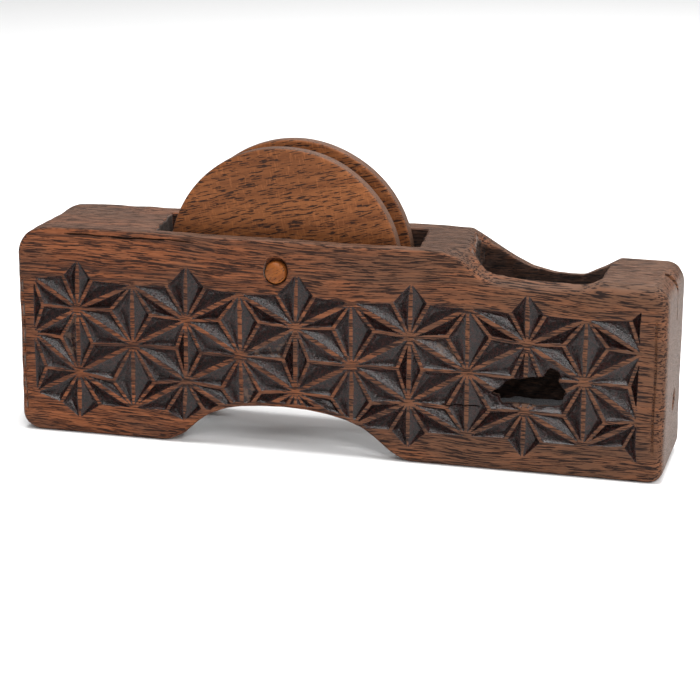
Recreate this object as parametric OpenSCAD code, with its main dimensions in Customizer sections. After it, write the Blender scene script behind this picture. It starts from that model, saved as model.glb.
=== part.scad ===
// Carpenter's ink line: a straight wooden block with a reel mortise at one
// end, an ink well at the other and a hemp-leaf pattern cut into the front.
// X runs along the block towards the end where the line leaves, Y from the
// carved front to the back, Z up. The origin is the middle of the block on
// the plane of its two feet. Millimetres.

/* [Block] */
// Length of the block
body_l = 225; // [222:0.5:236]
// Width of the block, front to back
body_w = 43; // [43:0.1:47]
// Height of the block beside the reel
body_h = 73.8; // [73:0.1:77]
// Rounding of the long edges
edge_r = 3.2; // [1.5:0.1:4]
// Rounding of the upright corners
corner_r = 3; // [1.5:0.1:4]
// How far the top drops from the reel to the ink well
rim_drop = 12.4; // [9:0.1:13]
// How far the end block rises again behind the well
end_rise = 4.6; // [2:0.1:6]

/* [Grip arch] */
// Middle of the arch along the block
arch_x = -16.5; // [-19:0.5:-14]
// Half the width of the arch at the feet
arch_half = 40; // [36:0.5:41]
// Height of the arch
arch_h = 15.7; // [12:0.1:16.5]

/* [Reel mortise] */
// Left end of the mortise at the top
mortise_x0 = -65.5; // [-67:0.5:-64]
// Right end of the mortise at the top
mortise_x1 = 27.5; // [26:0.5:29]
// Left end of the mortise where it comes out in the arch
mortise_low_x0 = -56; // [-57:0.5:-55]
// Right end of the mortise where it comes out in the arch
mortise_low_x1 = 21.5; // [20:0.5:22.5]
// Thickness of the front wall beside the reel
front_wall = 5; // [4.5:0.1:6]
// Width of the mortise
mortise_w = 27; // [26:0.1:28]

/* [Ink well] */
// Left end of the well
well_x0 = 46.5; // [46:0.5:49]
// Right end of the well
well_x1 = 89; // [87:0.5:90]
// Thickness of the well's front wall
well_front = 4.6; // [4.2:0.1:6]
// Thickness of the well's back wall
well_back = 6.5; // [5:0.1:8]
// Height of the well's floor
well_floor = 9; // [7:0.5:12]
// Rounding of the well's upright corners
well_r = 6; // [4:0.5:8]

/* [Line way] */
// Radius of the hole that the line runs through
line_r = 2.1; // [2:0.1:2.5]
// Height of the line's hole
line_z = 23; // [21:0.5:26]
// Where the line's hole lies across the block
line_y = 1; // [-2:0.5:3]
// Radius of the worn mouth at the end face
mouth_r = 4; // [3:0.1:5]

/* [Hemp-leaf pattern] */
// Spacing of the star columns
star_dx = 19.6; // [19.2:0.1:20]
// Spacing of the stars in a column
star_dz = 21.6; // [21:0.1:22]
// First star column
star_x0 = -90.8; // [-91.5:0.1:-90]
// Height of the upper star in the first column
star_z0 = 43.9; // [43.5:0.1:44.5]
// Depth of the cut pockets
cut_depth = 1.9; // [1:0.1:2.2]
// Width of the ridges left between the pockets
ridge_w = 1.4; // [1:0.1:1.8]

/* [Reel] */
// Reel axis along the block
reel_x = -19.5; // [-20:0.1:-19]
// Height of the reel axis
reel_z = 62.5; // [62:0.1:63]
// Radius of the flanges
reel_r = 41.2; // [38:0.1:41.5]
// Thickness of a flange
flange_t = 4.8; // [4:0.1:5]
// Gap between the flanges, where the line is wound
reel_gap = 11.4; // [10:0.1:11.6]
// Front face of the reel
reel_y0 = -11.6; // [-11.8:0.1:-11.2]
// Radius of the drum between the flanges
drum_r = 17; // [15:0.5:20]
// Radius of the drum's tenons in the flanges
tenon_r = 8.5; // [7.5:0.5:9]
// Number of pegs through flanges and drum
peg_n = 3; // [3:1:4]
// Distance of the pegs from the axis
peg_pcd_r = 12.6; // [12:0.1:13]
// Radius of a peg
peg_r = 1.5; // [1.2:0.1:1.8]

/* [Axle pin] */
// Radius of the axle pin
pin_r = 3.9; // [3.5:0.1:4]
// How far the pin's ends stand out of the block
pin_proud = 0.8; // [0.4:0.1:1.5]
// Radial clearance of the pin in block and reel
pin_gap = 0.05; // [0.02:0.01:0.09]

/* [Ink wadding] */
// Height of the soaked wadding on the well's floor
wad_h = 9; // [6:0.5:11]
// Gap between the wadding and the well's walls
wad_gap = 1; // [0.6:0.1:2]

/* [Hidden] */
y_front = -body_w / 2;
y_back = body_w / 2;
half_l = body_l / 2;
mortise_y0 = y_front + front_wall;
mortise_y1 = mortise_y0 + mortise_w;
well_y0 = y_front + well_front;
well_y1 = y_back - well_back;
reel_y1 = reel_y0 + 2 * flange_t + reel_gap;
fit_gap = 0.02;

// Smooth step from 0 to 1
function ease(t) = let (u = min(1, max(0, t))) u * u * (3 - 2 * u);

// Height of the block's top: level over the reel, low round the well, and
// a little higher again at the end, where the corner is worn round
function top_z(x) =
    body_h - rim_drop * ease((x - 40) / 24) + end_rise * ease((x - 79) / 12)
    - (x > half_l - 7 ? 7 - sqrt(max(0, 49 - pow(x - half_l + 7, 2))) : 0);

// Height of the grip arch, flat in the middle and steep at its ends
function arch_z(x) =
    let (u = min(1, abs(x - arch_x) / arch_half))
    arch_h * pow(1 - pow(u, 2.8), 0.9);

module rounded_rect(w, h, r) {
    square([w - 2 * r, h], center = true);
    square([w, h - 2 * r], center = true);
    for (sx = [-1, 1], sy = [-1, 1])
        translate([sx * (w / 2 - r), sy * (h / 2 - r)])
            circle(r = r, $fn = 48);
}

// Side outline of the block, in X and Z
module side_outline() {
    difference() {
        translate([0, body_h / 2]) rounded_rect(body_l, body_h, 4.5);
        polygon(concat(
            [for (x = [40:1.5:half_l]) [x, top_z(x)]],
            [[half_l + 1, top_z(half_l)], [half_l + 1, body_h + 2], [40, body_h + 2]]));
        polygon(concat(
            [for (i = [-16:16]) let (u = sin(i * 90 / 16))
                [arch_x + arch_half * u, arch_z(arch_x + arch_half * u)]],
            [[arch_x + arch_half, -2], [arch_x - arch_half, -2]]));
    }
}

// The plain block, rounded on every edge
module block() {
    intersection() {
        translate([0, y_back + 1, 0]) rotate([90, 0, 0])
            linear_extrude(height = body_w + 2) side_outline();
        translate([0, 0, -1]) linear_extrude(height = body_h + 2)
            rounded_rect(body_l, body_w, corner_r);
        translate([-half_l - 1, 0, body_h / 2]) rotate([90, 0, 90])
            linear_extrude(height = body_l + 2)
                rounded_rect(body_w, body_h, edge_r);
    }
}

// Through mortise for the reel, narrower below so that it ends in the arch
module reel_mortise() {
    translate([0, mortise_y1, 0]) rotate([90, 0, 0])
        linear_extrude(height = mortise_w)
            polygon([[mortise_x0, body_h + 2], [mortise_x0, body_h - 12],
                     [mortise_low_x0, -2], [mortise_low_x1, -2],
                     [mortise_x1, body_h - 12], [mortise_x1, body_h + 2]]);
}

module ink_well() {
    wl = well_x1 - well_x0;
    ww = well_y1 - well_y0;
    translate([well_x0 + wl / 2, well_y0 + ww / 2, well_floor])
        linear_extrude(height = body_h) rounded_rect(wl, ww, well_r);
}

// Irregular window worn through the well's thin front wall
module side_window() {
    translate([0, well_y0 + 1, 0]) rotate([90, 0, 0])
        linear_extrude(height = well_front + 2)
            polygon([[54.6, 26.2], [56.2, 28.2], [58.8, 30.4], [61.8, 32.2],
                     [69, 33.3], [72.4, 34], [72.6, 36], [74.4, 36.8],
                     [77.7, 35.2], [77.4, 32], [79.8, 29], [79.2, 27.5],
                     [78.5, 23.4], [74.6, 22.8], [69.4, 22.5], [62.4, 23.1],
                     [57, 22.3], [56.5, 25.4]]);
}

// One hole from the end face through the well into the mortise
module line_way() {
    translate([mortise_x1 - 8, line_y, line_z]) rotate([0, 90, 0])
        cylinder(r = line_r, h = half_l - mortise_x1 + 10, $fn = 48);
    translate([half_l - 2.5, line_y, line_z]) rotate([0, 90, 0])
        cylinder(r1 = line_r, r2 = mouth_r, h = 2.6, $fn = 48);
}

// Split and worn notch at the top of the end face
module end_notch() {
    translate([half_l + 1, line_y - 0.5, top_z(half_l - 8)])
        rotate([90, 0, 0]) linear_extrude(height = 1.2, center = true)
            polygon([[-7, 2], [-4.5, -1.5], [-3.2, -6], [-1.8, -15], [1, -15], [1, 2]]);
}

// Axle holes, with the worn dish round the front one
module axle_holes() {
    translate([reel_x, y_back + 1, reel_z]) rotate([90, 0, 0])
        cylinder(r = pin_r + pin_gap, h = body_w + 2, $fn = 64);
    translate([reel_x, y_front + 1.8, reel_z]) rotate([90, 0, 0])
        cylinder(r1 = pin_r + 0.6, r2 = pin_r + 1.1, h = 1.9, $fn = 64);
}

// Incised border lines at both ends of the front
module border_lines() {
    for (x = [-110.4, 108.6])
        translate([x, y_front, 31]) cube([0.7, 0.8, 48], center = true);
}

// ---- hemp-leaf pattern: every lattice triangle is split at its centre into
// three blunt triangles, and each of those is one three-sided pocket
function cross2(a, b) = a[0] * b[1] - a[1] * b[0];
function incentre(t) =
    let (a = norm(t[1] - t[2]), b = norm(t[2] - t[0]), c = norm(t[0] - t[1]))
    (a * t[0] + b * t[1] + c * t[2]) / (a + b + c);
function inradius(t) =
    let (a = norm(t[1] - t[2]), b = norm(t[2] - t[0]), c = norm(t[0] - t[1]))
    abs(cross2(t[1] - t[0], t[2] - t[0])) / (a + b + c);

// Pocket below triangle t, whose last corner is the blunt one
module pocket(t0) {
    t = cross2(t0[1] - t0[0], t0[2] - t0[0]) > 0 ? t0 : [t0[1], t0[0], t0[2]];
    c = incentre(t);
    r = inradius(t);
    k = (r - ridge_w / 2) / r;
    deep = c + 0.12 * (t[2] - c);
    d = cut_depth * min(1, k * r / 2.2);
    lift = 0.5;
    if (k > 0.2) {
        q = [for (v = t) let (e = c + (v - c) * k) deep + (e - deep) * (d + lift) / d];
        polyhedron(
            points = concat([[deep[0], y_front + d, deep[1]]],
                            [for (v = q) [v[0], y_front - lift, v[1]]]),
            faces = [[1, 2, 0], [2, 3, 0], [3, 1, 0], [3, 2, 1]]);
    }
}

// Lattice triangle on the upright edge a-b with its tip at c; the third
// pocket, next to a, is left out where the pattern ends
module leaf(a, b, c, all) {
    m = (a + b + c) / 3;
    pocket([a, b, m]);
    pocket([b, c, m]);
    if (all) pocket([c, a, m]);
}

star_x1 = star_x0 + 9 * star_dx;
left_x = -106.6;
right_x = 103.6;
tip_up = 62.3;
tip_low = 5.2;
star_z1 = star_z0 - star_dz;
mid_z = [star_z0 + star_dz / 2, star_z0 - star_dz / 2, star_z0 - 1.5 * star_dz];
function in_arch(p) = abs(p[0] - arch_x) < arch_half && p[1] < arch_z(p[0]) + 1;
function col(i) = i < 0 ? left_x : i > 9 ? right_x : star_x0 + i * star_dx;

module hemp_leaf() {
    // columns with two stars and a spike above and below
    for (i = [0:2:10], s = [-1, 1]) if (i + s <= 9) {
        x = col(i);
        n = col(i + s);
        tu = i > 9 ? 58.4 : tip_up;
        tl = i > 9 ? 6.6 : tip_low;
        leaf([x, tu], [x, star_z0], [n, mid_z[0]], false);
        leaf([x, star_z0], [x, star_z1], [n, mid_z[1]], true);
        if (!in_arch([x, tl]))
            leaf([x, tl], [x, star_z1], [n, mid_z[2]], false);
        if (in_arch([x, tl]) && !in_arch([n, mid_z[2]]))
            pocket([[x, star_z1], [n, mid_z[2]], ([x, tl] + [x, star_z1] + [n, mid_z[2]]) / 3]);
    }
    // columns with three stars
    for (i = [-1:2:9], s = [-1, 1]) if (i + s >= 0) {
        x = col(i);
        n = col(i + s);
        leaf([x, mid_z[0]], [x, mid_z[1]], [n, star_z0], true);
        if (!in_arch([x, mid_z[2]]))
            leaf([x, mid_z[1]], [x, mid_z[2]], [n, star_z1], true);
        if (in_arch([x, mid_z[2]]))
            pocket([[x, mid_z[1]], [n, star_z1], ([x, mid_z[1]] + [x, mid_z[2]] + [n, star_z1]) / 3]);
    }
}

module tsubo_body() {
    color([0.33, 0.19, 0.12])
        difference() {
            block();
            reel_mortise();
            ink_well();
            side_window();
            line_way();
            end_notch();
            axle_holes();
            border_lines();
            hemp_leaf();
        }
}

// Disc with slightly rounded rims, from y = 0 to y = t
module flange(t) {
    er = 0.9;
    rotate([-90, 0, 0]) difference() {
        rotate_extrude($fn = 128) union() {
            square([reel_r - er, t]);
            translate([0, er]) square([reel_r, t - 2 * er]);
            for (z = [er, t - er]) translate([reel_r - er, z]) circle(r = er, $fn = 32);
        }
        translate([0, 0, -1]) cylinder(r = tenon_r + fit_gap, h = t + 2, $fn = 64);
        for (i = [0:peg_n - 1]) rotate([0, 0, 90 + 360 / peg_n * i])
            translate([peg_pcd_r, 0, -1]) cylinder(r = peg_r + fit_gap, h = t + 2, $fn = 32);
    }
}

module front_reel_flange() {
    color([0.45, 0.25, 0.12])
        translate([reel_x, reel_y0, reel_z]) flange(flange_t);
}

module back_reel_flange() {
    color([0.42, 0.23, 0.12])
        translate([reel_x, reel_y1 - flange_t, reel_z]) flange(flange_t);
}

// Drum with a tenon on each side that ends flush in its flange
module reel_drum() {
    color([0.38, 0.24, 0.15])
        translate([reel_x, reel_y0, reel_z]) rotate([-90, 0, 0]) difference() {
            union() {
                translate([0, 0, flange_t]) cylinder(r = drum_r, h = reel_gap, $fn = 96);
                cylinder(r = tenon_r, h = 2 * flange_t + reel_gap, $fn = 64);
            }
            translate([0, 0, -1])
                cylinder(r = pin_r + pin_gap, h = 2 * flange_t + reel_gap + 2, $fn = 64);
            for (i = [0:peg_n - 1]) rotate([0, 0, 90 + 360 / peg_n * i])
                translate([peg_pcd_r, 0, -1])
                    cylinder(r = peg_r + fit_gap, h = 2 * flange_t + reel_gap + 2, $fn = 32);
        }
}

module reel_pegs() {
    color([0.62, 0.47, 0.27])
        translate([reel_x, reel_y0, reel_z]) rotate([-90, 0, 0])
            for (i = [0:peg_n - 1]) rotate([0, 0, 90 + 360 / peg_n * i])
                translate([peg_pcd_r, 0, 0])
                    cylinder(r = peg_r, h = 2 * flange_t + reel_gap, $fn = 32);
}

// Straight pin with domed ends
module axle_pin() {
    pl = body_w + 2 * pin_proud;
    color([0.66, 0.38, 0.16])
        translate([reel_x, -pl / 2, reel_z]) rotate([-90, 0, 0])
            rotate_extrude($fn = 64)
                polygon(concat([[0, 0]],
                    [for (a = [0:15:90]) [pin_r - 1.2 + 1.2 * sin(a), 1.2 - 1.2 * cos(a)]],
                    [for (a = [90:-15:0]) [pin_r - 1.2 + 1.2 * sin(a), pl - 1.2 + 1.2 * cos(a)]],
                    [[0, pl]]));
}

// Pad of soaked silk wadding lying on the well's floor
module ink_wadding() {
    wl = well_x1 - well_x0 - 2 * wad_gap;
    ww = well_y1 - well_y0 - 2 * wad_gap;
    color([0.03, 0.03, 0.035])
        translate([(well_x0 + well_x1) / 2, (well_y0 + well_y1) / 2, well_floor]) {
            linear_extrude(height = wad_h - 1.5) rounded_rect(wl, ww, 6);
            translate([0, 0, wad_h - 1.6]) linear_extrude(height = 1.6)
                rounded_rect(wl - 5, ww - 5, 5);
        }
}

tsubo_body();
front_reel_flange();
back_reel_flange();
reel_drum();
reel_pegs();
axle_pin();
ink_wadding();
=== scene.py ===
"""Looks of the ink line block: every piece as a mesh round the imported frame.

All modelling below is in millimetres in the part's frame and is scaled to
metres when a mesh is made. The block is one implicit solid, meshed on a
grid with its sharp edges kept (dual contouring).
"""
import bmesh
import bpy
import math
import numpy as np
from mathutils import Matrix, Vector


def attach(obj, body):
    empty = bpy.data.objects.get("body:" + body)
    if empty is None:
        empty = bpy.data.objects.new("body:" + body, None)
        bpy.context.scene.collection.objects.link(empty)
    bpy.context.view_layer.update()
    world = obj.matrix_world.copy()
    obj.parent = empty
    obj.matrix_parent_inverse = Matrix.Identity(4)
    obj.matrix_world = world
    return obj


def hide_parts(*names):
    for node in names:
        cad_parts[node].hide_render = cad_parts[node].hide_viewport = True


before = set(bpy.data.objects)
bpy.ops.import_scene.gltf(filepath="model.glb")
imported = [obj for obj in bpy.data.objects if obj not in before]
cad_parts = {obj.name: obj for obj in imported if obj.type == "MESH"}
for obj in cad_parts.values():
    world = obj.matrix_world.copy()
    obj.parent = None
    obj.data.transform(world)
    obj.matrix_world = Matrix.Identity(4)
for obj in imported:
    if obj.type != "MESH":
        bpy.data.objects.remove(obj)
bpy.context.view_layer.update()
MM = 0.001
rng = np.random.default_rng(41)

# ---------------------------------------------------------------- camera
cam_data = bpy.data.cameras.new("camera")
cam_data.sensor_width = 36.0
cam_data.lens = 2214.4 * 36.0 / 700.0
cam_data.clip_start = 0.01
cam_data.clip_end = 50.0
cam = bpy.data.objects.new("camera", cam_data)
bpy.context.scene.collection.objects.link(cam)
R = Vector((0.9653, 0.2610, 0.0036)).normalized()
F = Vector((-0.2501, 0.9287, -0.2738)).normalized()
U = R.cross(F).normalized()
R = F.cross(U).normalized()
cam.matrix_world = Matrix((
    (R.x, U.x, -F.x, 0.19162),
    (R.y, U.y, -F.y, -0.70826),
    (R.z, U.z, -F.z, 0.24041),
    (0, 0, 0, 1)))
bpy.context.scene.camera = cam


# ---------------------------------------------------------------- helpers
def ease(t):
    t = np.clip(t, 0.0, 1.0)
    return t * t * (3 - 2 * t)


def rint(a, b, r):
    """Intersection of two solids with the edge between them rounded by r."""
    return np.minimum(np.maximum(a, b), -r) + np.hypot(
        np.maximum(a + r, 0), np.maximum(b + r, 0))


def waves(seed, n, lo, hi, stretch=(1, 1, 1)):
    g = np.random.default_rng(seed)
    out = []
    for _ in range(n):
        d = g.normal(size=3)
        d /= np.linalg.norm(d)
        out.append((d * (2 * math.pi / g.uniform(lo, hi)) / np.array(stretch),
                    g.uniform(0, 2 * math.pi)))
    return out


def wob(w, x, y, z):
    """Smooth noise of about -1..1 from a few waves."""
    s = 0
    for k, p in w:
        s = s + np.sin(k[0] * x + k[1] * y + k[2] * z + p)
    return s / math.sqrt(len(w)) * 0.8


def smooth_table(points, lo, hi, width, step=0.1):
    """Polyline through points as a dense table, rounded over width."""
    xs = np.arange(lo - 10, hi + 10, step)
    p = np.array(points, float)
    ys = np.interp(xs, p[:, 0], p[:, 1])
    n = max(3, int(width / step) | 1)
    k = np.hanning(n + 2)[1:-1]
    k /= k.sum()
    ys = np.convolve(np.pad(ys, n // 2, mode="edge"), k, mode="valid")
    return xs, ys, np.gradient(ys, xs)


# ---------------------------------------------------------------- hemp leaf
# Star columns from left to right, (x, z) of each star; spike tips and the
# middles of the lattice triangles were given one by one, so none is regular.
L = [(-106.6, 54.9), (-107.1, 35.3), (-106.8, 13.9)]
E0 = [(-90.7, 45.0), (-90.6, 22.4)]
O1 = [(-70.5, 54.8), (-70.6, 33.6), (-70.9, 11.0)]
E2 = [(-51.3, 43.8), (-51.5, 22.2)]
O3 = [(-32.2, 54.4), (-31.8, 32.8), (-31.6, 11.0)]
E4 = [(-12.5, 44.0), (-12.5, 21.6)]
O5 = [(6.9, 54.1), (7.0, 32.4), (7.0, 11.0)]
E6 = [(27.0, 43.8), (26.7, 21.2)]
O7 = [(46.6, 55.0), (46.6, 33.3), (46.5, 11.2)]
E8 = [(66.5, 44.3), (66.1, 21.6)]
O9 = [(85.8, 54.1), (85.6, 33.1), (85.7, 11.2)]
E10 = [(104.0, 43.9), (103.6, 21.0)]
WM, WI, WB = 0.66, 0.53, 0.08
pockets = []          # (A, B, M, widths of the ridge beside AB, BM, MA)


def leaf(a, b, c, m, wab=WM, wbc=WM, wca=WM, skip=()):
    """Lattice triangle a-b-c split at m into three pockets."""
    for n, (p, q, w) in enumerate(((a, b, wab), (b, c, wbc), (c, a, wca))):
        if n not in skip:
            pockets.append((p, q, m, (w, WI, WI)))


def spike(tip, star, side, m, wtip=WM):
    """Half a spike: the pocket beside its rib and the one towards side."""
    pockets.append((tip, star, m, (wtip, WI, WB)))
    pockets.append((star, side, m, (WM, WB, WI)))


def star_column(E, Lc, Rc, up, low, ml, mr, ul, ur, ll, lr):
    a, b = E
    if Lc:
        leaf(a, b, Lc[1], ml)
        spike(up, a, Lc[0], ul)
        spike(low, b, Lc[2], ll)
    if Rc:
        leaf(a, b, Rc[1], mr)
        spike(up, a, Rc[0], ur)
        spike(low, b, Rc[2], lr)


star_column(E0, L, O1, (-90.2, 62.6), (-90.9, 5.8), (-97.0, 34.5), (-85.4, 32.9),
            (-95.7, 56.5), (-85.1, 55.6), (-97.7, 11.0), (-83.0, 11.0))
star_column(E2, O1, O3, (-50.9, 62.9), (-52.5, 7.9), (-54.8, 33.5), (-46.0, 32.8),
            (-58.0, 55.3), (-44.2, 55.6), (-58.7, 11.0), (-45.6, 13.0))
star_column(E4, O3, O5, (-11.9, 62.8), (-12.4, 5.0), (-16.8, 32.7), (-7.7, 32.7),
            (-19.0, 55.1), (-5.8, 55.2), (-18.2, 12.5), (-6.8, 12.5))
star_column(E6, O5, O7, (27.4, 62.3), (26.7, 5.2), (22.9, 32.8), (31.5, 33.0),
            (20.8, 55.1), (33.2, 55.5), (20.8, 11.0), (33.2, 11.2))
star_column(E8, O7, O9, (66.2, 61.4), (65.8, 5.2), (61.7, 32.8), (71.4, 32.9),
            (60.7, 54.6), (72.3, 54.6), (60.3, 11.6), (72.0, 11.3))
star_column(E10, O9, None, (103.7, 58.3), (104.0, 6.3), (100.4, 32.7), None,
            (100.0, 54.8), None, (99.2, 12.0), None)
# triangles on the columns with three stars; those at both ends are half cut
leaf(L[0], L[1], E0[0], (-103.4, 45.5), wab=WB)
leaf(L[1], L[2], E0[1], (-102.8, 23.1), wab=WB)
for O, El, Er, m in ((O1, E0, E2, ((-78.5, 45.5), (-78.0, 20.1), (-63.7, 44.8), (-63.0, 20.8))),
                     (O3, E2, E4, ((-39.5, 44.8), (-38.5, 20.8), (-25.0, 45.0), (-24.8, 20.5))),
                     (O5, E4, E6, ((0.5, 44.8), (0.2, 20.5), (15.0, 45.0), (14.0, 19.9))),
                     (O7, E6, E8, ((39.5, 45.0), (39.7, 20.5), (54.5, 45.7), (54.5, 21.0))),
                     (O9, E8, E10, ((78.5, 45.0), (79.2, 21.0), (93.2, 45.0), (93.0, 19.8)))):
    leaf(O[0], O[1], El[0], m[0])
    leaf(O[1], O[2], El[1], m[1])
    leaf(O[0], O[1], Er[0], m[2])
    leaf(O[1], O[2], Er[1], m[3])

ARCH = smooth_table([(-68, -13), (-59.2, -3.2), (-55.3, 0.9), (-51, 4.9), (-47.3, 8.4),
                     (-43.1, 11.3), (-37.2, 13.7), (-32.3, 14.7), (-25.2, 15.4),
                     (-16.9, 15.75), (-8.7, 15.4), (-1.7, 14.5), (5.3, 12.9), (11.1, 10.6),
                     (15.7, 7.3), (18.6, 4.7), (21.5, 1.6), (24.8, -2.0), (34, -12)],
                    -113, 113, 3.0)


def arch_at(x):
    return np.interp(x, ARCH[0], ARCH[1])


def arch_gap(x, z):
    """Distance over the grip arch, below 0 inside its opening."""
    return (z - arch_at(x)) / np.sqrt(1 + np.interp(x, ARCH[0], ARCH[2]) ** 2)


CUT_STEP = 0.1
CUT_X = np.arange(-112.4, 112.4, CUT_STEP)
CUT_Z = np.arange(1.0, 66.0, CUT_STEP)


def carve():
    """Depth of the cuts over the front, the ridge beside them and the facet."""
    depth = np.zeros((len(CUT_X), len(CUT_Z)), np.float64)
    tone = np.zeros_like(depth)
    g = np.random.default_rng(7)
    for A, B, M, w in pockets:
        A, B, M = np.array(A), np.array(B), np.array(M)
        lo, hi = np.minimum(np.minimum(A, B), M) - 0.3, np.maximum(np.maximum(A, B), M) + 0.3
        i0, i1 = np.searchsorted(CUT_X, [lo[0], hi[0]])
        j0, j1 = np.searchsorted(CUT_Z, [lo[1], hi[1]])
        if i1 <= i0 or j1 <= j0:
            continue
        X, Z = np.meshgrid(CUT_X[i0:i1], CUT_Z[j0:j1], indexing="ij")
        sign = 1 if np.cross(B - A, M - A) > 0 else -1

        def side(p, q, X, Z, width, pinch_p, pinch_q):
            d = q - p
            n = np.array([-d[1], d[0]]) * sign / np.hypot(*d)
            t = 1.0
            if pinch_p:
                t = t * (0.36 + 0.64 * ease(np.hypot(X - p[0], Z - p[1]) / 6.5))
            if pinch_q:
                t = t * (0.36 + 0.64 * ease(np.hypot(X - q[0], Z - q[1]) / 6.5))
            return (X - p[0]) * n[0] + (Z - p[1]) * n[1] - width * t

        foot = A + (B - A) * np.dot(M - A, B - A) / np.dot(B - A, B - A)
        base = 0.65 * foot + 0.35 * (A + B) / 2
        k = 0.60 + g.uniform(-0.05, 0.05)
        P = base + (M - base) * k + g.uniform(-0.2, 0.2, 2)
        D = 1.95 * g.uniform(0.9, 1.06)
        w = [v * g.uniform(0.85, 1.15) for v in w]
        parts = []
        for p, q, width, a, b in ((A, B, w[0], 1, 1), (B, M, w[1], 1, 0), (M, A, w[2], 0, 1)):
            e = side(p, q, X, Z, width, a, b)
            eP = side(p, q, P[0], P[1], width, a, b)
            parts.append(e / max(float(eP), 0.35))
        s = np.minimum(np.minimum(parts[0], parts[1]), parts[2])
        # a blade leaves hollow facets: a little deeper half way down
        d = np.where(s > 0, D * (s + 0.10 * np.sin(np.pi * np.clip(s, 0, 1))), 0)
        old = depth[i0:i1, j0:j1]
        better = d > old
        depth[i0:i1, j0:j1] = np.where(better, d, old)
        tone[i0:i1, j0:j1] = np.where(better, g.uniform(), tone[i0:i1, j0:j1])
    X, Z = np.meshgrid(CUT_X, CUT_Z, indexing="ij")
    margin = arch_gap(X, Z) - 1.5 - 0.25 * np.sin(X * 0.9)
    depth = np.minimum(depth, np.clip(margin * 1.3, 0, None))
    return depth, tone


CUT, TONE = carve()


def sample(field, x, z):
    u = np.clip((x - CUT_X[0]) / CUT_STEP, 0, len(CUT_X) - 1.001)
    v = np.clip((z - CUT_Z[0]) / CUT_STEP, 0, len(CUT_Z) - 1.001)
    i, j = u.astype(np.int32), v.astype(np.int32)
    a, b = u - i, v - j
    return (field[i, j] * (1 - a) * (1 - b) + field[i + 1, j] * a * (1 - b)
            + field[i, j + 1] * (1 - a) * b + field[i + 1, j + 1] * a * b)


def blurred(field, radius):
    n = int(radius / CUT_STEP)
    k = np.hanning(2 * n + 3)[1:-1]
    k /= k.sum()
    f = np.apply_along_axis(lambda r: np.convolve(r, k, mode="same"), 0, field)
    return np.apply_along_axis(lambda r: np.convolve(r, k, mode="same"), 1, f)


# ---------------------------------------------------------------- the block
FRONT = smooth_table([(-120, 71.9), (-112, 71.9), (-105, 72.7), (-98, 73.6), (-90, 73.8),
                      (37.5, 73.8), (42.5, 72.3), (47, 69.2), (50, 66.9), (54, 65.0),
                      (58, 64.3), (70, 64.0), (84, 64.3), (87.5, 65.2), (90.5, 66.35),
                      (113, 66.3)], -113, 113, 3.0)
BACK = smooth_table([(-120, 72.4), (-112, 72.4), (-104, 73.3), (-96, 73.8), (39.5, 73.8),
                     (43.8, 71.4), (49.4, 67.9), (55.1, 64.4), (60.7, 61.6), (69, 59.8),
                     (74, 59.5), (79, 60.0), (85.3, 62.9), (90.6, 66.1), (113, 66.1)],
                    -113, 113, 3.0)
MIDDLE = smooth_table([(-120, 72.0), (-112, 72.0), (-104, 73.0), (-96, 73.8), (46, 73.8),
                       (62, 70.0), (88.5, 66.3), (113, 66.3)], -113, 113, 2.5)
W_FACE = waves(1, 6, 22, 60, (1.6, 1, 1))
W_FINE = waves(2, 7, 5, 14, (2.2, 1, 1))
W_ROUGH = waves(3, 9, 2.2, 6.5)
W_EDGE = waves(4, 6, 6, 20)
W_CHOP = waves(5, 8, 3.0, 8.0, (1, 1, 2.4))
WINDOW = np.array([(54.4, 26.2), (55.4, 28.0), (57.4, 28.6), (58.6, 30.7), (61.8, 32.3),
                   (65.1, 32.7), (69.1, 33.4), (72.1, 33.9), (72.7, 36.2), (74.3, 36.9),
                   (77.2, 35.9), (77.9, 34.1), (77.3, 32.6), (78.2, 30.8), (79.8, 29.0),
                   (79.0, 27.3), (78.6, 23.6), (74.7, 22.9), (69.4, 22.4), (66.7, 23.2),
                   (62.4, 23.2), (58.0, 22.3), (57.2, 23.4), (56.9, 25.6)])


def polygon_distance(poly, x, z):
    """Signed distance to a polygon, below 0 inside."""
    best = np.full(x.shape, 1e9)
    inside = np.zeros(x.shape, bool)
    for n in range(len(poly)):
        a, b = poly[n], poly[(n + 1) % len(poly)]
        d = b - a
        t = np.clip(((x - a[0]) * d[0] + (z - a[1]) * d[1]) / (d @ d), 0, 1)
        best = np.minimum(best, (x - a[0] - t * d[0]) ** 2 + (z - a[1] - t * d[1]) ** 2)
        inside ^= ((a[1] > z) != (b[1] > z)) & (
            x < (b[0] - a[0]) * (z - a[1]) / (b[1] - a[1] if b[1] != a[1] else 1e-9) + a[0])
    return np.where(inside, -1, 1) * np.sqrt(best)


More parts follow.
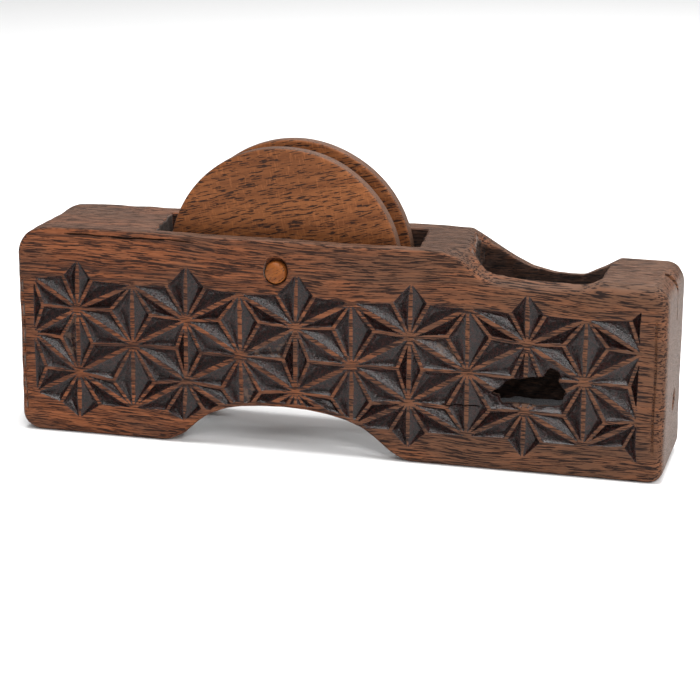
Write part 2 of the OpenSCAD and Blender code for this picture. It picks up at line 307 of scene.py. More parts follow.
def block(x, y, z):
    """The plain block with its carved front, without its openings."""
    front, back = np.interp(x, FRONT[0], FRONT[1]), np.interp(x, BACK[0], BACK[1])
    middle = np.interp(x, MIDDLE[0], MIDDLE[1])
    slope = np.interp(x, FRONT[0], FRONT[2])
    top = front + (middle - front) * ease((y + 19.5) / 7.5)
    top = top + (back - top) * ease((y - 9.0) / 7.0)
    top = top - 0.16 * (1 + wob(W_FACE, x, y, z)) - 0.07 * (1 + wob(W_FINE, x, y, z))
    up = (z - top) / np.sqrt(1 + slope ** 2)
    face = wob(W_FACE, x + 31, y, z)
    fine = wob(W_FINE, x, y + 9, z)
    ends = np.maximum(x, -x) - 112.48 + 0.08 * (1 + face) + 0.05 * (1 + fine)
    sides_front = -21.45 + sample(CUT, x, z) + 0.10 * (1 + face) + 0.03 * (1 + fine) - y
    # incised lines beside the pattern
    for x0, z0, z1, half, deep in ((-110.5, 6, 56, 0.33, 0.8), (108.5, 9, 56, 0.5, 0.75)):
        near = np.abs(x - x0 - 0.15 * np.sin(z * 0.21)) / half
        sides_front = sides_front + deep * np.clip(1.15 - near, 0, 1) * ease((z - z0) / 3) * ease(
            (z1 - z) / 3) * (0.75 + 0.25 * np.sin(z * 0.7 + x0))
    # drying crack under the top edge, in three lengths
    crack = np.abs(z - 71.25 - 0.16 * np.sin(x * 0.19) - 0.1 * np.sin(x * 0.63))
    run = np.minimum(ease((x + 95) / 3), ease((-46 - x) / 9)) * (
        1 - 0.85 * np.exp(-((x + 79.5) / 1.6) ** 2)) * (1 - 0.7 * np.exp(-((x + 57.5) / 1.8) ** 2))
    sides_front = sides_front + 1.7 * run * np.clip(1.0 - crack / (0.20 + 0.14 * run), 0, 1)
    # thin crack in the carving, through a star and its neighbour
    low = np.abs(z - 21.5 + 0.35 * np.sin((x - 38) * 0.5))
    run = np.minimum(ease((x - 37.5) / 2), ease((51.5 - x) / 2))
    sides_front = sides_front + 0.9 * run * np.clip(1.0 - low / 0.22, 0, 1)
    sides_back = y - 21.45 + 0.16 * (1 + face) + 0.05 * (1 + fine)
    side = np.maximum(sides_front, sides_back)
    r_xy = np.where(x < 0, np.where(y < 0, 1.9, 7.5), np.where(y < 0, 3.4, 4.2))
    down = rint(-z, -arch_gap(x, z), 4.0)
    # roundings of the long edges and the ends
    chips = wob(W_EDGE, x, y, z)
    r_front = 1.5 + 1.5 * ease((x - 38) / 14) + 1.8 * ease((x - 86) / 8) + 0.35 * chips
    r_back = 3.6 - 1.2 * ease((x - 40) / 15) + 0.5 * chips
    r_low = 0.9 + 1.6 * ease((7 - z) / 6)
    r_end = np.where(x < 0, 8.5, 6.6)
    high = z > 40
    r_y = np.where(high, np.where(y < 0, r_front, r_back), r_low)
    r_x = np.where(high, r_end, np.where(x < 0, 6.5, 5.0))
    level = np.maximum(up, down)
    outline = rint(ends, level, r_x)
    weight = ease((ends - level) / 6 + 0.5)
    r_xy = r_xy + 0.3 * chips
    return rint(outline, side, np.maximum(r_y + (r_xy - r_y) * weight, 0.3))


def mortise(x, y, z):
    taper = np.clip((61.8 - z) / 63.8, 0, 1)
    u = x + 0.122 * (y + 3)
    chop = 0.28 * wob(W_CHOP, x, y, z)
    ends = np.maximum(-65.0 + 9 * taper - u, u - 27.2 + 5.7 * taper) + chop
    sides = np.maximum(-16.45 - y, y - 10.45) + 0.35 * chop
    return rint(ends, sides, 0.8)


def well(x, y, z):
    rough = wob(W_ROUGH, x, y, z)
    scoop = 2.1 * np.exp(-((x - 67) / 13.0) ** 2 - ((z - 28.5) / 8.5) ** 2)
    left = 44.6 - 0.15 * y - x
    right = x - 88.8
    front = -16.8 - scoop - y
    back = y - 15.3 + 0.13 * np.clip(66 - z, 0, 30) - 0.9 * np.exp(
        -((z - 58) / 5.0) ** 2 - ((x - 52) / 9) ** 2)
    ends = np.maximum(left - 0.55 * rough, right - 0.25 * rough)
    sides = np.maximum(front - 0.12 * rough, back - 0.2 * rough)
    return np.maximum(rint(ends, sides, 5.0), 8.9 - z)


def body(x, y, z):
    f = block(x, y, z)
    m = mortise(x, y, z)
    f = rint(f, -m, 0.9 + 0.25 * wob(W_EDGE, x, y, z))
    w = well(x, y, z)
    r_rim = 0.8 + 2.2 * ease((50 - x) / 4) * ease((y + 17) / 4) * ease((z - 60) / 4)
    f = rint(f, -w, r_rim)
    # window worn through the front wall of the well
    near = (np.abs(x - 67) < 18) & (np.abs(z - 29) < 13) & (y < -12)
    if near.any():
        d = polygon_distance(WINDOW, x[near], z[near]) + 0.22 * wob(
            W_ROUGH, x[near], y[near] * 0.6, z[near]) + 0.35 * np.clip(
            y[near] + 20.6, -1, 1)
        f[near] = rint(f[near], -d, 0.25)
    # axle holes, the front one worn oval
    ax, az = x + 19.5, z - 62.5
    f = np.maximum(f, 3.95 - np.hypot(ax, az))
    dish = np.hypot((ax - 0.3) / 0.86, az - 0.75) - 5.0 + 0.5 * np.clip(y + 20.4, 0, 9) * 2.2
    f = rint(f, -np.maximum(dish, y + 18.2), 0.25)
    # way of the line, with its worn mouth
    hole = np.hypot(y - 1.0, z - 23.0)
    mouth = np.clip((x - 109.2) / 3.3, 0, 1)
    worn = hole - 2.1 - 1.9 * mouth ** 2 * (1 + 0.25 * np.sin(np.arctan2(z - 23, y - 1) * 2 + 0.6))
    f = rint(f, -np.maximum(worn, 20.0 - x), 0.2)
    # split and worn notch at the top of the end face
    wide = 0.28 + 1.35 * ease((z - 57.5) / 5)
    deep = 1.4 + 3.6 * ease((z - 53) / 9)
    bend = 0.7 + 0.35 * np.sin(z * 0.32)
    groove = np.maximum(np.abs(y - bend) - wide, 112.5 - deep - x)
    groove = np.maximum(groove, 50.5 - z)
    f = rint(f, -groove, 0.5)
    return f


def axis(lo, hi, size):
    out = [lo]
    while out[-1] < hi:
        out.append(out[-1] + size(out[-1]))
    return np.array(out)


def contour(xs, ys, zs, fn):
    """Dual contouring of fn = 0 on a grid of any spacing: vertices, quads."""
    nx, ny, nz = len(xs), len(ys), len(zs)
    vals = np.empty((nx, ny, nz), np.float64)
    for i in range(0, nx, 32):
        X, Y, Z = np.meshgrid(xs[i:i + 32], ys, zs, indexing="ij")
        vals[i:i + 32] = fn(X.ravel(), Y.ravel(), Z.ravel()).reshape(X.shape)
    inside = vals < 0
    cell_shape = (nx - 1, ny - 1, nz - 1)
    all_pts, all_cells, quads = [], [], []
    axes = (xs, ys, zs)
    for a in range(3):
        lo = [slice(None)] * 3
        hi = [slice(None)] * 3
        lo[a], hi[a] = slice(0, -1), slice(1, None)
        cross = inside[tuple(lo)] != inside[tuple(hi)]
        for b in range(3):          # edges on the border have no four cells
            if b != a:
                cut = [slice(None)] * 3
                cut[b] = [0, cross.shape[b] - 1]
                cross[tuple(cut)] = False
        idx = np.array(np.nonzero(cross))
        p0 = np.stack([axes[b][idx[b]] for b in range(3)], 1)
        p1 = p0.copy()
        p1[:, a] = axes[a][idx[a] + 1]
        f0 = vals[tuple(idx)]
        other = idx.copy()
        other[a] += 1
        f1 = vals[tuple(other)]
        for _ in range(5):
            t = np.clip(f0 / (f0 - f1), 0.06, 0.94)
            mid = p0 + (p1 - p0) * t[:, None]
            fm = fn(mid[:, 0], mid[:, 1], mid[:, 2])
            same = (fm < 0) == (f0 < 0)
            p0[same], f0[same] = mid[same], fm[same]
            p1[~same], f1[~same] = mid[~same], fm[~same]
        t = np.clip(f0 / (f0 - f1), 0, 1)
        pts = p0 + (p1 - p0) * t[:, None]
        b, c = (a + 1) % 3, (a + 2) % 3
        ring = []
        for db, dc in ((-1, -1), (0, -1), (0, 0), (-1, 0)):
            cell = idx.copy()
            cell[b] += db
            cell[c] += dc
            ring.append(np.ravel_multi_index(tuple(cell), cell_shape))
        ring = np.stack(ring, 1)
        out_first = vals[tuple(idx)] < 0
        ring[~out_first] = ring[~out_first][:, ::-1]
        quads.append(ring)
        all_pts.append(pts)
        all_cells.append(ring)
    pts = np.concatenate(all_pts)
    e = 0.02
    grad = np.empty_like(pts)
    for a in range(3):
        hi, lo = pts.copy(), pts.copy()
        hi[:, a] += e
        lo[:, a] -= e
        grad[:, a] = (fn(*hi.T) - fn(*lo.T)) / (2 * e)
    grad /= np.maximum(np.linalg.norm(grad, axis=1, keepdims=True), 1e-9)
    cells = np.concatenate(all_cells)
    used, inv = np.unique(cells.ravel(), return_inverse=True)
    inv = inv.reshape(cells.shape)
    n = len(used)
    count = np.bincount(inv.ravel(), minlength=n).astype(float)
    mean = np.stack([sum(np.bincount(inv[:, k], weights=pts[:, a], minlength=n)
                         for k in range(4)) for a in range(3)], 1) / count[:, None]
    A = np.zeros((n, 3, 3))
    rhs = np.zeros((n, 3))
    for k in range(4):
        d = np.einsum("ij,ij->i", grad, pts - mean[inv[:, k]])
        for i in range(3):
            rhs[:, i] += np.bincount(inv[:, k], weights=grad[:, i] * d, minlength=n)
            for j in range(i, 3):
                v = np.bincount(inv[:, k], weights=grad[:, i] * grad[:, j], minlength=n)
                A[:, i, j] += v
                if j != i:
                    A[:, j, i] += v
    A += np.eye(3) * (0.04 * count)[:, None, None]
    verts = mean + np.linalg.solve(A, rhs[:, :, None])[:, :, 0]
    ci = np.unravel_index(used, cell_shape)
    for a in range(3):
        low, high = axes[a][ci[a]], axes[a][ci[a] + 1]
        pad = (high - low) * 0.05
        verts[:, a] = np.clip(verts[:, a], low - pad, high + pad)
    return verts, inv


def mesh_object(name, verts, faces, smooth=True):
    """Object from vertices in mm and faces (an array, or a list of lists)."""
    me = bpy.data.meshes.new(name)
    if isinstance(faces, np.ndarray):
        me.vertices.add(len(verts))
        me.vertices.foreach_set("co", (np.asarray(verts) * MM).astype(np.float32).ravel())
        me.loops.add(faces.size)
        me.loops.foreach_set("vertex_index", faces.astype(np.int32).ravel())
        me.polygons.add(len(faces))
        me.polygons.foreach_set("loop_start", np.arange(0, faces.size, faces.shape[1], dtype=np.int32))
        me.update(calc_edges=True)
        me.validate()
    else:
        me.from_pydata([tuple(c * MM for c in v) for v in verts], [], faces)
        me.update()
    me.polygons.foreach_set("use_smooth", np.full(len(me.polygons), smooth))
    ob = bpy.data.objects.new(name, me)
    bpy.context.scene.collection.objects.link(ob)
    return ob


def applied(ob):
    """Replaces the object's mesh by the one its modifiers give."""
    deps = bpy.context.evaluated_depsgraph_get()
    me = bpy.data.meshes.new_from_object(ob.evaluated_get(deps))
    ob.modifiers.clear()
    old = ob.data
    ob.data = me
    me.name = ob.name
    bpy.data.meshes.remove(old)
    return ob


h = 0.5
q = 1.0


def size_x(x):
    if -111.2 < x < -109.9 or 107.6 < x < 109.2:
        return 0.22
    return h


def size_y(y):
    if y < -21.9 or -18.9 < y < -15.4:
        return 0.5 * q
    if y < -18.9:
        return 0.3 * q
    if y < 19.4:
        return 1.0 * q
    return 0.55 * q


def size_z(z):
    if 70.9 < z < 71.7 or 21.0 < z < 21.9:
        return 0.17
    return h


def make_body():
    xs = axis(-113.6, 113.2, size_x)
    ys = axis(-22.6, 22.3, size_y)
    zs = axis(-0.9, 74.6, size_z)
    verts, quads = contour(xs, ys, zs, body)
    low = np.array([-112.5, -21.5, 0.0])
    high = np.array([112.5, 21.5, 73.8])
    verts = np.clip(verts, low, high)
    ob = mesh_object("carved_block", verts, quads)
    tris = 2 * len(quads)
    limit = 188000
    print("BODY grid", len(xs), len(ys), len(zs), "quads", len(quads))
    if tris > limit:
        mod = ob.modifiers.new("thin", "DECIMATE")
        mod.ratio = limit / tris
        mod.use_collapse_triangulate = True
        applied(ob)
    return ob


body_ob = make_body()
print("BODY faces", len(body_ob.data.polygons))
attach(body_ob, "block")
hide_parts("tsubo_body")
body_ob.data.set_sharp_from_angle(angle=math.radians(34))

# ---------------------------------------------------------------- masks
def body_masks(ob):
    me = ob.data
    n = len(me.vertices)
    v = np.empty(n * 3, np.float32)
    me.vertices.foreach_get("co", v)
    v = v.reshape(-1, 3).astype(float) / MM
    x, y, z = v.T
    halo = blurred((CUT > 0.05).astype(float), 1.6)
    front = ease((-17.5 - y) / 1.5)
    stain = np.clip(sample(halo, x, z) * 1.5, 0, 1) * front
    in_well = ease((1.6 - np.maximum(well(x, y, z), -5) * 3 - 0.3) / 1.6) * (y > -20.9)
    in_mort = ease((1.2 - mortise(x, y, z) * 3) / 1.4) * (np.abs(y) < 20)
    # inside the well and mortise: ink stain and painted shade, growing darker down the well
    inked_and_shaded_inside = np.maximum(in_well * np.maximum(ease((66 - z) / 9 + 0.35), ease((56 - x) / 5) * ease((72.5 - z) / 2)), 0.85 * in_mort)
    fc = np.empty(len(me.polygons) * 3, np.float32)
    me.polygons.foreach_get("center", fc)
    fc = fc.reshape(-1, 3).astype(float) / MM
    c = sample(CUT, fc[:, 0], fc[:, 2])
    cut = (c > 0.07) & (fc[:, 1] < -18.6)
    # slips of bare wood where the stain has worn off a facet
    worn = cut & (np.modf(sample(TONE, fc[:, 0], fc[:, 2]) * 37.7)[0] > 0.95)
    for name, data, dom in (("stain", stain, "POINT"), ("inked_and_shaded_inside", inked_and_shaded_inside, "POINT"),
                            ("cut", cut.astype(float), "FACE"), ("worn", worn.astype(float), "FACE")):
        at = me.attributes.new(name, "FLOAT", dom)
        at.data.foreach_set("value", data.astype(np.float32))


body_masks(body_ob)


# ---------------------------------------------------------------- materials
class Nodes:
    """Short names for the nodes of one material."""

    def __init__(self, name):
        self.mat = bpy.data.materials.new(name)
        self.mat.use_nodes = True
        self.t = self.mat.node_tree
        self.bsdf = self.t.nodes["Principled BSDF"]

    def put(self, socket, value):
        if isinstance(value, bpy.types.NodeSocket):
            self.t.links.new(value, socket)
        elif isinstance(value, (tuple, list)) and len(value) == 3 and socket.type == "RGBA":
            socket.default_value = (*value, 1)
        else:
            socket.default_value = value

    def node(self, kind, **inputs):
        n = self.t.nodes.new(kind)
        for k, v in inputs.items():
            self.put(n.inputs[k], v)
        return n

    def math(self, op, a, b=0.0, clamp=False):
        n = self.t.nodes.new("ShaderNodeMath")
        n.operation, n.use_clamp = op, clamp
        self.put(n.inputs[0], a)
        self.put(n.inputs[1], b)
        return n.outputs[0]

    def mix(self, f, a, b, kind="MIX"):
        n = self.t.nodes.new("ShaderNodeMix")
        n.data_type, n.blend_type = "RGBA", kind
        self.put(n.inputs[0], f)
        self.put(n.inputs[6], a)
        self.put(n.inputs[7], b)
        return n.outputs[2]

    def coords(self):
        c = self.t.nodes.new("ShaderNodeTexCoord").outputs["Object"]
        return self.scaled(c, (1000, 1000, 1000))

    def scaled(self, v, s):
        n = self.t.nodes.new("ShaderNodeVectorMath")
        n.operation = "MULTIPLY"
        self.put(n.inputs[0], v)
        n.inputs[1].default_value = s
        return n.outputs[0]

    def added(self, v, w):
        n = self.t.nodes.new("ShaderNodeVectorMath")
        n.operation = "ADD"
        self.put(n.inputs[0], v)
        self.put(n.inputs[1], w)
        return n.outputs[0]

    def noise(self, v, scale, detail=2.0, rough=0.5):
        n = self.t.nodes.new("ShaderNodeTexNoise")
        self.put(n.inputs["Vector"], v)
        n.inputs["Scale"].default_value = scale
        n.inputs["Detail"].default_value = detail
        n.inputs["Roughness"].default_value = rough
        return n.outputs[0]

    def ramp(self, v, lo, hi, a=0.0, b=1.0):
        n = self.t.nodes.new("ShaderNodeMapRange")
        n.interpolation_type = "SMOOTHSTEP"
        self.put(n.inputs[0], v)
        for k, w in zip((1, 2, 3, 4), (lo, hi, a, b)):
            n.inputs[k].default_value = w
        return n.outputs[0]

    def attr(self, name):
        n = self.t.nodes.new("ShaderNodeAttribute")
        n.attribute_name = name
        return n.outputs["Fac"]

    def bump(self, height, strength, distance):
        n = self.t.nodes.new("ShaderNodeBump")
        n.inputs["Strength"].default_value = strength
        n.inputs["Distance"].default_value = distance
        self.put(n.inputs["Height"], height)
        return n.outputs[0]


def wood_base(N, along, across, warp=3.0, turn=0.0):
    """Growth bands, pores and fibres of one piece, grain along X turned in XZ."""
    c = N.coords()
    if turn:
        r = N.t.nodes.new("ShaderNodeVectorRotate")
        r.rotation_type = "Y_AXIS"
        N.put(r.inputs["Vector"], c)
        r.inputs["Angle"].default_value = turn
        c = r.outputs[0]
    w = N.node("ShaderNodeTexNoise")
    N.put(w.inputs["Vector"], N.scaled(c, (0.45, 1, 1)))
    w.inputs["Scale"].default_value = 0.035
    w.inputs["Detail"].default_value = 1.5
    off = N.scaled(N.added(w.outputs["Color"], (-0.5, -0.5, -0.5)), (0, warp, warp * 3.2))
    c = N.added(c, off)
    band = N.noise(N.scaled(c, (0.010, 0.22, 0.62)), 1.0, 3.0, 0.55)
    pores = N.noise(N.scaled(c, (0.13, 1.9, 2.3)), 1.0, 2.5, 0.6)
    fibre = N.noise(N.scaled(c, (0.35, 4.5, 6.5)), 1.0, 2.0, 0.6)
    blotch = N.noise(N.scaled(c, (0.6, 1, 1)), 0.05, 2.0, 0.5)
    return c, band, pores, fibre, blotch


def body_material():
    N = Nodes("body_wood_worn")
    c, band, pores, fibre, blotch = wood_base(N, 1, 1)
    col = N.mix(N.ramp(band, 0.36, 0.64), (0.085, 0.024, 0.0085), (0.225, 0.070, 0.026))
    col = N.mix(N.ramp(blotch, 0.42, 0.66, 0, 0.75), col, (0.085, 0.038, 0.022))
    col = N.mix(N.ramp(fibre, 0.42, 0.72, 0, 0.35), col, (0.34, 0.135, 0.065))
    line = N.ramp(pores, 0.52, 0.56)
    late = N.ramp(N.noise(N.scaled(c, (0.006, 0.5, 1.5)), 1.0, 2.0, 0.5), 0.53, 0.63)
    col = N.mix(N.math("MULTIPLY", line, 0.92), col, (0.014, 0.0065, 0.005))
    col = N.mix(N.math("MULTIPLY", late, 0.55), col, (0.035, 0.016, 0.011))
    # greyed and dusty on top with a painted sheen; grey end grain, weathered and with a painted sheen
    nrm = N.t.nodes.new("ShaderNodeSeparateXYZ")
    N.put(nrm.inputs[0], N.t.nodes.new("ShaderNodeNewGeometry").outputs["Normal"])
    # top faces painted greyer: dust, and a painted sheen of the light from above
    up = N.ramp(nrm.outputs[2], 0.55, 0.95, 0, 0.62)
    # end faces painted light grey: weathered end grain with a painted sheen of the light from the right
    end_grain_grey_and_sheen = N.ramp(N.math("ABSOLUTE", nrm.outputs[0]), 0.75, 0.98, 0, 0.62)
    col = N.mix(up, col, N.mix(line, (0.095, 0.058, 0.041), (0.030, 0.019, 0.014)))
    spots = N.ramp(N.noise(N.scaled(c, (0.2, 1.6, 1.6)), 1.0, 3.0, 0.65), 0.5, 0.7)
    col = N.mix(end_grain_grey_and_sheen, col, N.mix(spots, (0.30, 0.265, 0.24), (0.13, 0.105, 0.095)))
    # darker to the right and on top between the reel and the well, as handled and stained
    xyz = N.t.nodes.new("ShaderNodeSeparateXYZ")
    N.put(xyz.inputs[0], N.coords())
    bridge = N.math("MULTIPLY", N.ramp(xyz.outputs[0], 18.0, 30.0), N.ramp(xyz.outputs[0], 62.0, 50.0))
    bridge = N.math("MULTIPLY", bridge, N.ramp(nrm.outputs[2], 0.6, 0.9, 0, 0.6))
    col = N.mix(bridge, col, (0.030, 0.017, 0.012))
    right = N.ramp(xyz.outputs[0], -70.0, 100.0, 0, 0.60)
    col = N.mix(right, col, N.mix(line, (0.105, 0.052, 0.029), (0.012, 0.007, 0.006)))
    # ink soaked in round the cuts and in the cuts; inside, ink stain with painted shade, darkest low in the well
    stain = N.math("MULTIPLY", N.attr("stain"), N.ramp(fibre, 0.3, 0.7, 0.35, 0.80))
    col = N.mix(N.math("MULTIPLY", stain, 0.42), col, (0.045, 0.032, 0.030))
    pitch = N.noise(N.coords(), 0.9, 4.0, 0.65)
    inked = N.mix(N.ramp(pitch, 0.42, 0.66), (0.0055, 0.0026, 0.0024), (0.026, 0.0065, 0.0050))
    inked = N.mix(N.ramp(N.noise(N.coords(), 3.2, 2.0, 0.6), 0.62, 0.74, 0, 0.45), inked, (0.06, 0.038, 0.032))
    inked = N.mix(N.math("MULTIPLY", N.attr("worn"), N.ramp(N.noise(N.coords(), 0.5, 2.0), 0.5, 0.62, 0, 0.35)),
                  inked, (0.16, 0.085, 0.05))
    cut = N.attr("cut")
    col = N.mix(cut, col, inked)
    inked_and_shaded_inside = N.attr("inked_and_shaded_inside")
    # near-black colour inside the well and mortise: ink stain with painted shade
    ink_and_painted_shade = N.mix(N.ramp(N.noise(N.scaled(N.coords(), (0.3, 0.3, 1.1)), 1.0, 4.0, 0.7), 0.45, 0.72),
                 (0.007, 0.006, 0.006), (0.040, 0.022, 0.016))
    col = N.mix(N.math("MULTIPLY", inked_and_shaded_inside, 0.93), col, ink_and_painted_shade)
    N.put(N.bsdf.inputs["Base Color"], col)
    rough = N.math("ADD", N.ramp(fibre, 0.3, 0.7, 0.50, 0.66), N.math("MULTIPLY", line, 0.15))
    grain = N.noise(N.coords(), 2.6, 3.0, 0.7)
    rough = N.math("ADD", rough, N.math("MULTIPLY", cut, N.ramp(grain, 0.35, 0.65, -0.40, -0.20)))
    rough = N.math("ADD", rough, N.math("MULTIPLY", inked_and_shaded_inside, 0.2), True)
    N.put(N.bsdf.inputs["Roughness"], rough)
    N.bsdf.inputs["Specular IOR Level"].default_value = 0.14
    N.put(N.bsdf.inputs["Coat Weight"], N.math("MULTIPLY", cut, 0.42))
    N.bsdf.inputs["Coat Roughness"].default_value = 0.15
    N.put(N.bsdf.inputs["Coat Normal"], N.bump(N.noise(N.coords(), 1.7, 3.0, 0.6), 0.55, 0.00022))
    h = N.math("SUBTRACT", N.math("MULTIPLY", fibre, 0.35), N.math("MULTIPLY", line, 0.9))
    h = N.math("SUBTRACT", h, N.math("MULTIPLY", late, 0.35))
    h = N.math("ADD", N.math("MULTIPLY", h, N.math("SUBTRACT", 1.0, N.math("MULTIPLY", cut, 0.75))),
               N.math("MULTIPLY", N.math("MAXIMUM", cut, inked_and_shaded_inside), N.math("MULTIPLY", grain, 0.9)))
    N.put(N.bsdf.inputs["Normal"], N.bump(h, 0.75, 0.00028))
    return N.mat


def plain_wood(name, light, mid, dark, turn, pore_lo, rough=0.55, rays=0.0, edge=None, side_grey=0.0):
    N = Nodes(name)
    c, band, pores, fibre, blotch = wood_base(N, 1, 1, 1.5, turn)
    col = N.mix(N.ramp(band, 0.35, 0.65), mid, light)
    col = N.mix(N.ramp(blotch, 0.4, 0.7, 0, 0.5), col, dark)
    col = N.mix(N.ramp(fibre, 0.4, 0.7, 0, 0.4), col, light)
    if rays:
        ray = N.ramp(N.noise(N.scaled(c, (1.6, 1.0, 0.30)), 1.0, 2.0, 0.5), 0.56, 0.66, 0, rays)
        col = N.mix(ray, col, tuple(min(1, v * 1.55) for v in light))
    dash = N.ramp(N.noise(N.scaled(c, (0.26, 1.2, 2.5)), 1.0, 2.0, 0.5), pore_lo, pore_lo + 0.05)
    col = N.mix(N.math("MULTIPLY", dash, 0.92), col, (0.016, 0.008, 0.006))
    if side_grey:
        nrm = N.t.nodes.new("ShaderNodeSeparateXYZ")
        N.put(nrm.inputs[0], N.t.nodes.new("ShaderNodeTexCoord").outputs["Normal"])
        rim = N.ramp(N.math("ABSOLUTE", nrm.outputs[1]), 0.35, 0.9, side_grey, 0)
        col = N.mix(rim, col, N.mix(N.ramp(fibre, 0.4, 0.6), (0.040, 0.023, 0.017), (0.120, 0.074, 0.052)))
    N.put(N.bsdf.inputs["Base Color"], col)
    N.put(N.bsdf.inputs["Roughness"], N.ramp(fibre, 0.3, 0.7, rough - 0.08, rough + 0.1))
    N.bsdf.inputs["Specular IOR Level"].default_value = 0.15
    h = N.math("SUBTRACT", N.math("MULTIPLY", fibre, 0.4), dash)
    N.put(N.bsdf.inputs["Normal"], N.bump(h, 0.6, 0.00022))
    return N.mat


body_ob.data.materials.append(body_material())
reel_mat = plain_wood("reel_wood", (0.225, 0.078, 0.026), (0.135, 0.043, 0.014), (0.075, 0.025, 0.010),
                      math.radians(12), 0.553, 0.52, 0.30, side_grey=0.75)
drum_mat = plain_wood("drum_wood", (0.16, 0.085, 0.045), (0.11, 0.055, 0.03), (0.05, 0.028, 0.018), 0.0, 0.6, 0.6)
peg_mat = plain_wood("peg_bamboo", (0.45, 0.30, 0.14), (0.36, 0.22, 0.10), (0.2, 0.12, 0.06), 0.0, 0.64, 0.5)
pin_mat = plain_wood("pin_wood", (0.33, 0.105, 0.022), (0.20, 0.055, 0.010), (0.07, 0.018, 0.006), 0.5, 0.60, 0.38)


# ---------------------------------------------------------------- the reel
def lathe(name, rings, seg, centre, close=True):
    """Rings of (y, fn(angle) -> (radius x, radius z)) joined along Y."""
    verts, faces = [], []
    for y, fn in rings:
        for s in range(seg):
            a = 2 * math.pi * s / seg
            rx, rz, dy = fn(a)
            verts.append((centre[0] + rx * math.cos(a), y + dy, centre[2] + rz * math.sin(a)))
    for r in range(len(rings) - 1):
        for s in range(seg):
            t = (s + 1) % seg
            faces.append((r * seg + s, r * seg + t, (r + 1) * seg + t, (r + 1) * seg + s))
    return verts, faces


def disc(name, y0, t, seed):
    """A hand-cut disc: a little flat on top, worn rims, bored for the tenon."""
    g = np.random.default_rng(seed)
    ph = g.uniform(0, 6.28, 6)
    seg = 256

    def shape(k, dy):
        def fn(a):
            wave = 0.10 * math.sin(2 * a + ph[0]) + 0.06 * math.sin(5 * a + ph[1]) + 0.03 * math.sin(9 * a + ph[2])
            flat = 0.25 * max(0.0, math.sin(a)) ** 2
            r = 41.05 - k - 0.2 + min(0.15, wave) - flat
            return r, r, dy
        return fn

    rim = [(0.9, 0.0), (0.45, 0.12), (0.14, 0.42), (0.0, 0.95)]
    rings = [(y0, shape(k + extra, d)) for k, d, extra in [(a, b, 0) for a, b in rim]]
    rings += [(y0 + t, shape(k, -d)) for k, d in reversed(rim)]
    # faces in to the tenon hole
    def circle(r, dy=0.0):
        return lambda a: (r, r, dy)
    front = [(y0, circle(8.52, 0.0)), (y0, circle(12, 0.0)), (y0, circle(24, 0.05)), (y0, circle(36, 0.02))]
    back = [(y0 + t, circle(36)), (y0 + t, circle(24)), (y0 + t, circle(12)), (y0 + t, circle(8.52))]
    verts, faces = lathe(name, front + rings + back + [(y0, circle(8.52, 0.0))], seg, (-19.5, 0, 62.5))
    ob = mesh_object(name, verts, faces)
    bm = bmesh.new()
    bm.from_mesh(ob.data)
    ops = bmesh.ops
    ops.remove_doubles(bm, verts=bm.verts, dist=1e-6)
    ops.recalc_face_normals(bm, faces=bm.faces)
    bm.to_mesh(ob.data)
    bm.free()
    ob.data.set_sharp_from_angle(angle=math.radians(40))
    ob.data.materials.append(reel_mat)
    return ob


front_disc = disc("near_disc", -11.6, 4.8, 11)
back_disc = disc("far_disc", 4.6, 4.8, 12)
for ob, node in ((front_disc, "front_reel_flange"), (back_disc, "back_reel_flange")):
    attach(ob, "reel")
    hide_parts(node)
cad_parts["reel_drum"].data.materials.clear()
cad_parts["reel_drum"].data.materials.append(drum_mat)
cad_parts["reel_pegs"].data.materials.clear()
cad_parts["reel_pegs"].data.materials.append(peg_mat)


# ---------------------------------------------------------------- the pin
def whittled_pin():
    g = np.random.default_rng(5)
    seg, rings = 44, []
    cuts = [(g.uniform(0, 6.28), g.uniform(0.10, 0.30)) for _ in range(9)]

    def shape(r, tip):
        def fn(a):
            f = r
            for c, d in cuts:
                f -= d * tip * max(0.0, math.cos(a - c)) ** 10
            return f, f, 0.12 * tip * math.sin(2 * a + 1.0)
        return fn
    L0 = 22.25
    prof = [(-L0, 0.02), (-L0 + 0.02, 1.2), (-L0 + 0.16, 2.3), (-L0 + 0.5, 3.2), (-L0 + 1.0, 3.62),
            (-L0 + 1.7, 3.84), (-L0 + 3, 3.88)]
    line = prof + [(y, 3.88) for y in np.linspace(-17, 17, 12)] + [(-y, r) for y, r in reversed(prof)]
    for y, r in line:
        tip = max(0.0, 1 - (L0 - abs(y)) / 3.0) * min(1.0, r / 2.5)
        rings.append((y + 0.0, shape(r, tip)))
    verts, faces = lathe("pin", rings, seg, (-19.5, 0, 62.5))
    verts = [(x, max(-22.28, min(22.28, y)), z) for x, y, z in verts]
    faces.append(tuple(range(seg)))
    faces.append(tuple(reversed(range(len(verts) - seg, len(verts)))))
    ob = mesh_object("whittled_pin", verts, faces)
    bm = bmesh.new()
    bm.from_mesh(ob.data)
    bmesh.ops.recalc_face_normals(bm, faces=bm.faces)
    bm.to_mesh(ob.data)
    bm.free()
    ob.data.materials.append(pin_mat)
    return ob


pin = whittled_pin()
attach(pin, "axle_pin")
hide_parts("axle_pin")


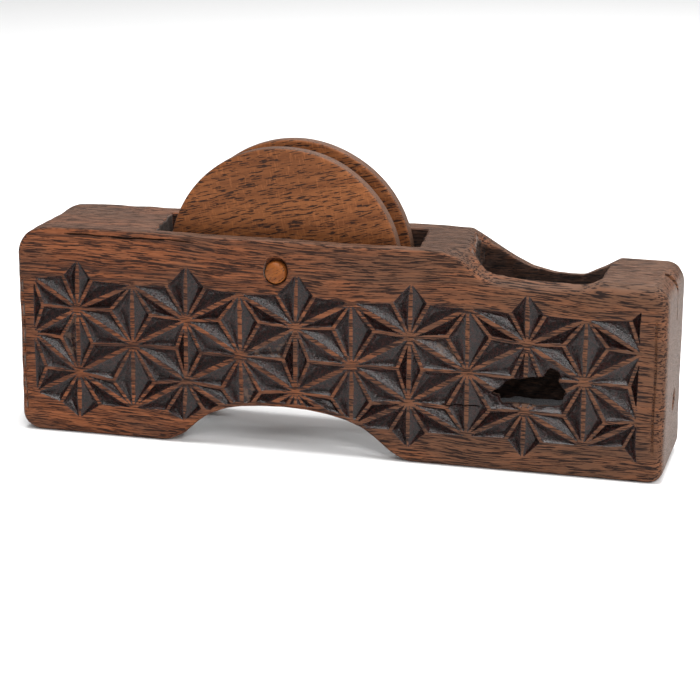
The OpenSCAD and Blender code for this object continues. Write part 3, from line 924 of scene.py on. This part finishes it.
# ---------------------------------------------------------------- wadding
def make_wadding():
    """Matted pad of soaked silk: a crowned closed form, tufted and wrinkled."""
    nu, nv = 90, 64
    cx, cy, hx, hy = 67.75, -0.95, 19.6, 14.4
    ww, wf = waves(21, 10, 5, 13), waves(22, 12, 1.6, 4.2)
    verts, faces = [], []
    for i in range(nu):                 # around
        a = 2 * math.pi * i / nu
        ex = math.copysign(abs(math.cos(a)) ** 0.55, math.cos(a))
        ey = math.copysign(abs(math.sin(a)) ** 0.55, math.sin(a))
        for j in range(nv + 1):         # from the middle of the top to the middle below
            t = math.pi * j / nv
            k = math.sin(t) ** 0.45
            x, y = cx + hx * k * ex, cy + hy * k * ey
            z = 13.0 + 4.0 * math.copysign(abs(math.cos(t)) ** 0.6, math.cos(t))
            n = float(wob(ww, x, y, z)) * 0.45 + float(wob(wf, x, y, z)) * 0.28
            if math.cos(t) > -0.3:
                z += n - 0.25
            x += 0.35 * n * ex
            y += 0.35 * n * ey
            verts.append((x, y, max(9.02, z)))
    for i in range(nu):
        k = (i + 1) % nu
        for j in range(nv):
            faces.append((i * (nv + 1) + j, i * (nv + 1) + j + 1, k * (nv + 1) + j + 1, k * (nv + 1) + j))
    ob = mesh_object("soaked_wadding", verts, faces)
    bm = bmesh.new()
    bm.from_mesh(ob.data)
    ops = bmesh.ops
    ops.remove_doubles(bm, verts=bm.verts, dist=2e-5)
    ops.recalc_face_normals(bm, faces=bm.faces)
    bm.to_mesh(ob.data)
    bm.free()
    N = Nodes("inked_silk")
    f1 = N.noise(N.scaled(N.coords(), (1.2, 2.6, 1.0)), 1.0, 4.0, 0.7)
    f2 = N.noise(N.scaled(N.coords(), (3.5, 1.0, 2.0)), 1.0, 3.0, 0.7)
    col = N.mix(N.ramp(f1, 0.4, 0.7), (0.008, 0.008, 0.009), (0.035, 0.033, 0.035))
    N.put(N.bsdf.inputs["Base Color"], col)
    N.put(N.bsdf.inputs["Roughness"], N.ramp(f2, 0.35, 0.65, 0.45, 0.85))
    N.put(N.bsdf.inputs["Normal"], N.bump(N.math("ADD", f1, f2), 0.8, 0.0006))
    ob.data.materials.append(N.mat)
    return ob


wad = make_wadding()
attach(wad, "ink_wadding")
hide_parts("ink_wadding")

# ---------------------------------------------------------------- floor, light
floor = mesh_object("floor", [(-6000, -6000, 0), (6000, -6000, 0), (6000, 6000, 0), (-6000, 6000, 0)],
                    np.array([[0, 1, 2, 3]]), smooth=False)
fm = bpy.data.materials.new("paper_floor")
fm.use_nodes = True
b = fm.node_tree.nodes["Principled BSDF"]
b.inputs["Base Color"].default_value = (0.86, 0.86, 0.86, 1)
b.inputs["Roughness"].default_value = 0.75
floor.data.materials.append(fm)


def area(name, loc, aim, size, power, color=(1, 1, 1)):
    d = bpy.data.lights.new(name, "AREA")
    d.shape = "RECTANGLE"
    d.size, d.size_y = size
    d.energy = power
    d.color = color
    o = bpy.data.objects.new(name, d)
    o.location = loc
    o.rotation_euler = (Vector(aim) - Vector(loc)).to_track_quat("-Z", "Y").to_euler()
    bpy.context.scene.collection.objects.link(o)
    return o


area("softbox_top", (0.05, -0.05, 1.35), (0, 0, 0.03), (1.0, 0.6), 26)
area("softbox_front", (0.52, -1.20, 1.05), (0, 0, 0.03), (0.55, 0.45), 11)
area("softbox_back", (0.25, 0.95, 0.95), (0, 0, 0.03), (1.2, 0.6), 6)
area("softbox_right", (1.15, -0.15, 0.55), (0, 0, 0.04), (0.7, 0.7), 8)
world = bpy.data.worlds.new("studio")
world.use_nodes = True
world.node_tree.nodes["Background"].inputs[0].default_value = (1, 1, 1, 1)
world.node_tree.nodes["Background"].inputs[1].default_value = 0.36
bpy.context.scene.world = world
bpy.context.scene.view_settings.view_transform = "Standard"
